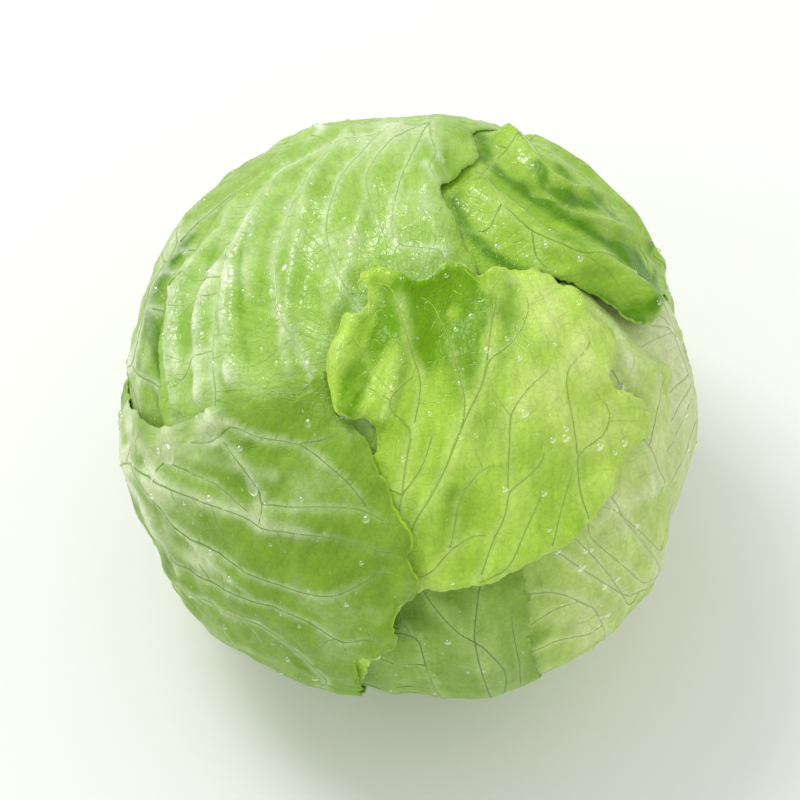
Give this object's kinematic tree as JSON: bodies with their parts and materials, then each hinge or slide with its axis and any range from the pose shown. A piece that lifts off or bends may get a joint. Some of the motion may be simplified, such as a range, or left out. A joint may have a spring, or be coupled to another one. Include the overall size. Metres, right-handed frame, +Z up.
{
  "type": "head of lettuce",
  "caption": "Round crisphead lettuce standing on its cut stem, with loose overlapping wrapper leaves round a dense heart.",
  "frame": {"origin": "middle of the cut stem's flat face, which the head stands on", "axes": "+Z up along the stem, from its cut face to the top of the head; -Y is the side that the picture's camera looks from"},
  "size_m": [0.1588, 0.1647, 0.1582],
  "materials": {
    "cut_stem": "matt moist cut face, browned at its rim",
    "heart": "satin, pale and tightly folded",
    "leaf_palest": "satin leaf, whitish midrib",
    "leaf_pale": "satin leaf, pale ribs",
    "leaf_mid": "satin leaf, branching veins",
    "leaf_deep": "glossy crumpled leaf",
    "leaf_olive": "satin leaf in shade",
    "leaf_bright": "glossy yellow-green leaf, dark veins"
  },
  "bodies": {
    "root": {"stem": "cut_stem", "heart": "heart", "leaf_inner_right": "leaf_palest", "leaf_back": "leaf_pale", "leaf_back_left": "leaf_mid", "leaf_right": "leaf_pale", "leaf_folded": "leaf_deep", "leaf_bottom": "leaf_olive", "leaf_crown": "leaf_pale", "leaf_front": "leaf_bright", "leaf_left": "leaf_mid"}
  },
  "joints": []
}
